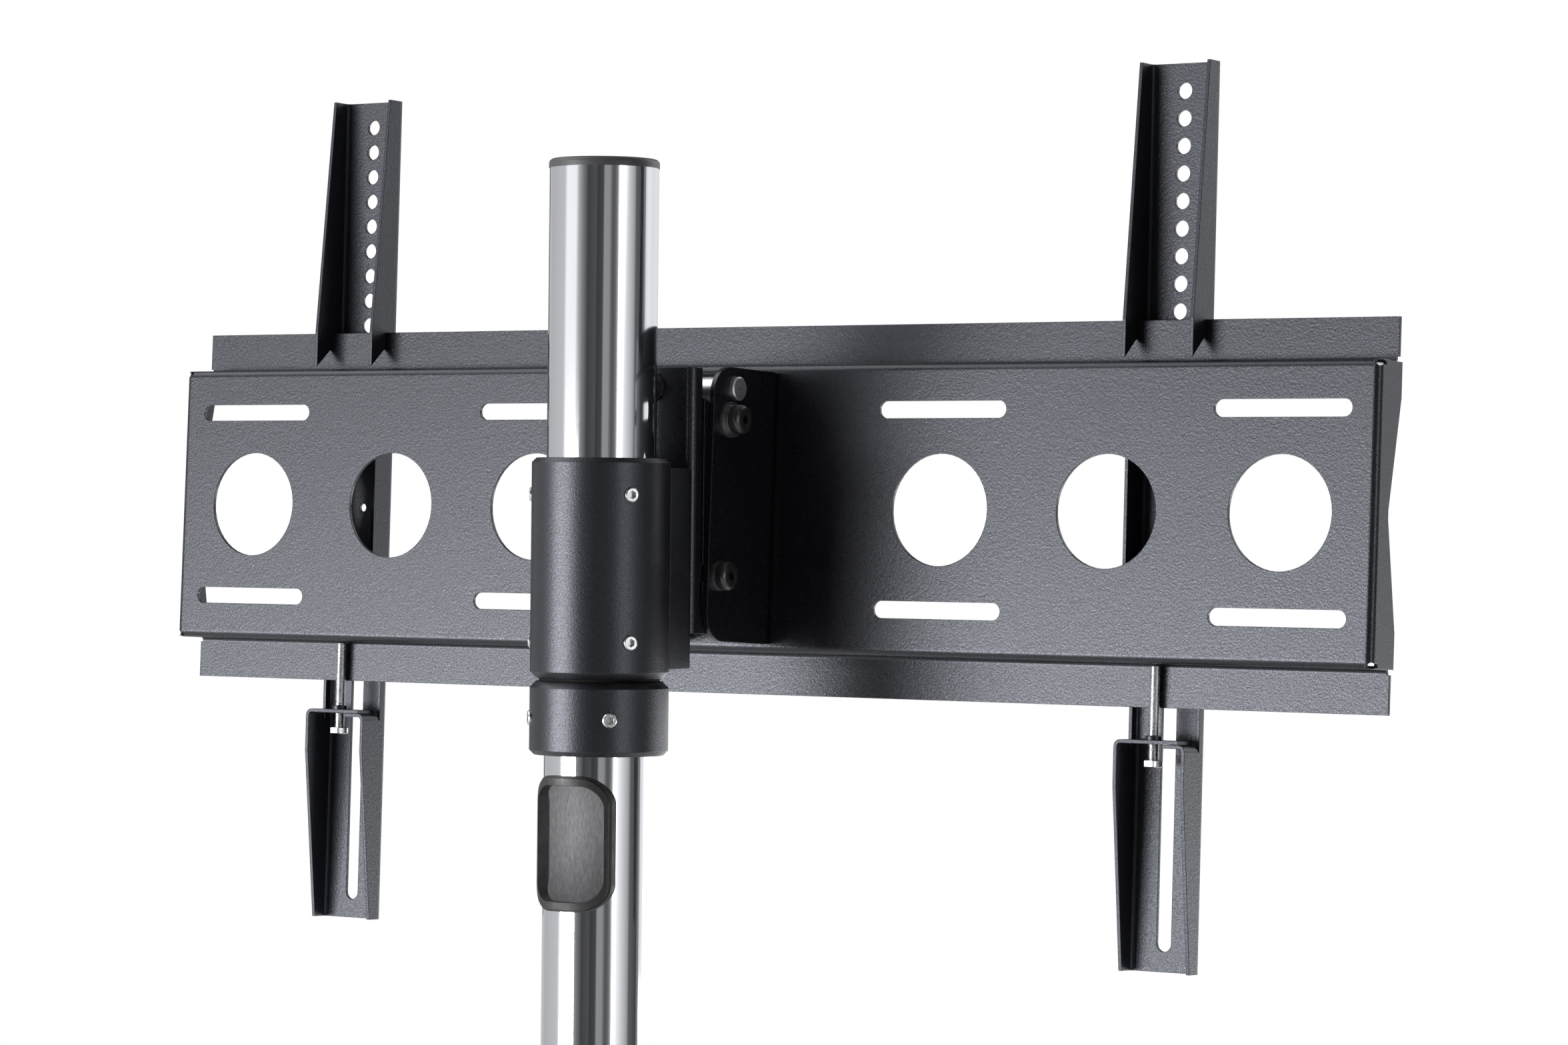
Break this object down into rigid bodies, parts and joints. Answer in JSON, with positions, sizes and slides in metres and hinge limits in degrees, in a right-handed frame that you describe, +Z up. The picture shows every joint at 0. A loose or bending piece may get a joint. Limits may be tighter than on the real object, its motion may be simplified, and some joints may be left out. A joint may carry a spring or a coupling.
{
  "type": "floor stand with screen mount",
  "caption": "Round chrome pole on a flat floor plate, carrying a height-adjustable, swivelling and tilting plate with two hook-on arms for a flat screen.",
  "frame": {"origin": "on the floor, on the axis of the pole", "axes": "+Z up the pole, the screen side is -Y, the back is +Y, +X is the plate's length"},
  "size_m": [0.819, 0.5, 1.8597],
  "materials": {
    "powder_black": "fine-textured black powder coat",
    "satin_black": "satin black coat on turned steel",
    "chrome": "polished chrome",
    "zinc": "bright zinc plate",
    "black_screws": "black oxide, slightly glossy",
    "rubber": "matt moulded rubber",
    "cap_plastic": "dark grey moulded plastic",
    "nylon": "black nylon"
  },
  "bodies": {
    "stand": {"base_plate": "powder_black", "base_feet": "rubber", "pole_flange": "powder_black", "flange_bolts": "zinc", "flange_washers": "zinc", "pole": "chrome", "pole_cap": "cap_plastic", "upper_grommet": "rubber", "lower_grommet": "rubber"},
    "height_ring": {"stop_ring": "satin_black", "ring_set_screws": "zinc", "glide_washer": "nylon"},
    "swivel_head": {"sleeve": "satin_black", "sleeve_set_screws": "zinc", "sleeve_bracket": "satin_black", "tilt_channel": "powder_black", "channel_bolts": "zinc", "pivot_rod": "zinc", "rod_screw": "black_screws", "rod_screw_washer": "black_screws"},
    "screen_plate": {"wide_plate": "powder_black", "tilt_bracket": "powder_black", "bracket_bolts": "zinc", "bracket_nuts": "zinc", "tilt_bolts": "black_screws", "tilt_washers": "black_screws", "spring_washers": "black_screws", "tilt_nuts": "zinc"},
    "left_carrier": {"left_arm": "powder_black", "left_weld_nut": "powder_black"},
    "left_screw": {"left_lock_screw": "zinc"},
    "right_carrier": {"right_arm": "powder_black", "right_weld_nut": "powder_black"},
    "right_screw": {"right_lock_screw": "zinc"}
  },
  "joints": [
    {"name": "height_slide", "type": "slide", "parent": "stand", "child": "height_ring", "axis": [0, 0, 1], "range_m": [-0.01, 0.15]},
    {"name": "swivel", "type": "hinge", "parent": "height_ring", "child": "swivel_head", "pos_m": [0, 0, 1.5218], "axis": [0, 0, 1], "continuous": true},
    {"name": "tilt", "type": "hinge", "parent": "swivel_head", "child": "screen_plate", "pos_m": [0, -0.084, 1.6818], "axis": [1, 0, 0], "range_deg": [-7.5, 4.5]},
    {"name": "left_arm_slide", "type": "slide", "parent": "screen_plate", "child": "left_carrier", "axis": [1, 0, 0], "range_m": [-0.19, 0.085]},
    {"name": "left_lock_turn", "type": "slide", "parent": "left_carrier", "child": "left_screw", "axis": [0, 0.0297, -0.9996], "range_m": [0, 0.015]},
    {"name": "right_arm_slide", "type": "slide", "parent": "screen_plate", "child": "right_carrier", "axis": [1, 0, 0], "range_m": [-0.11, 0.17]},
    {"name": "right_lock_turn", "type": "slide", "parent": "right_carrier", "child": "right_screw", "axis": [0, 0.0297, -0.9996], "range_m": [0, 0.015]}
  ]
}
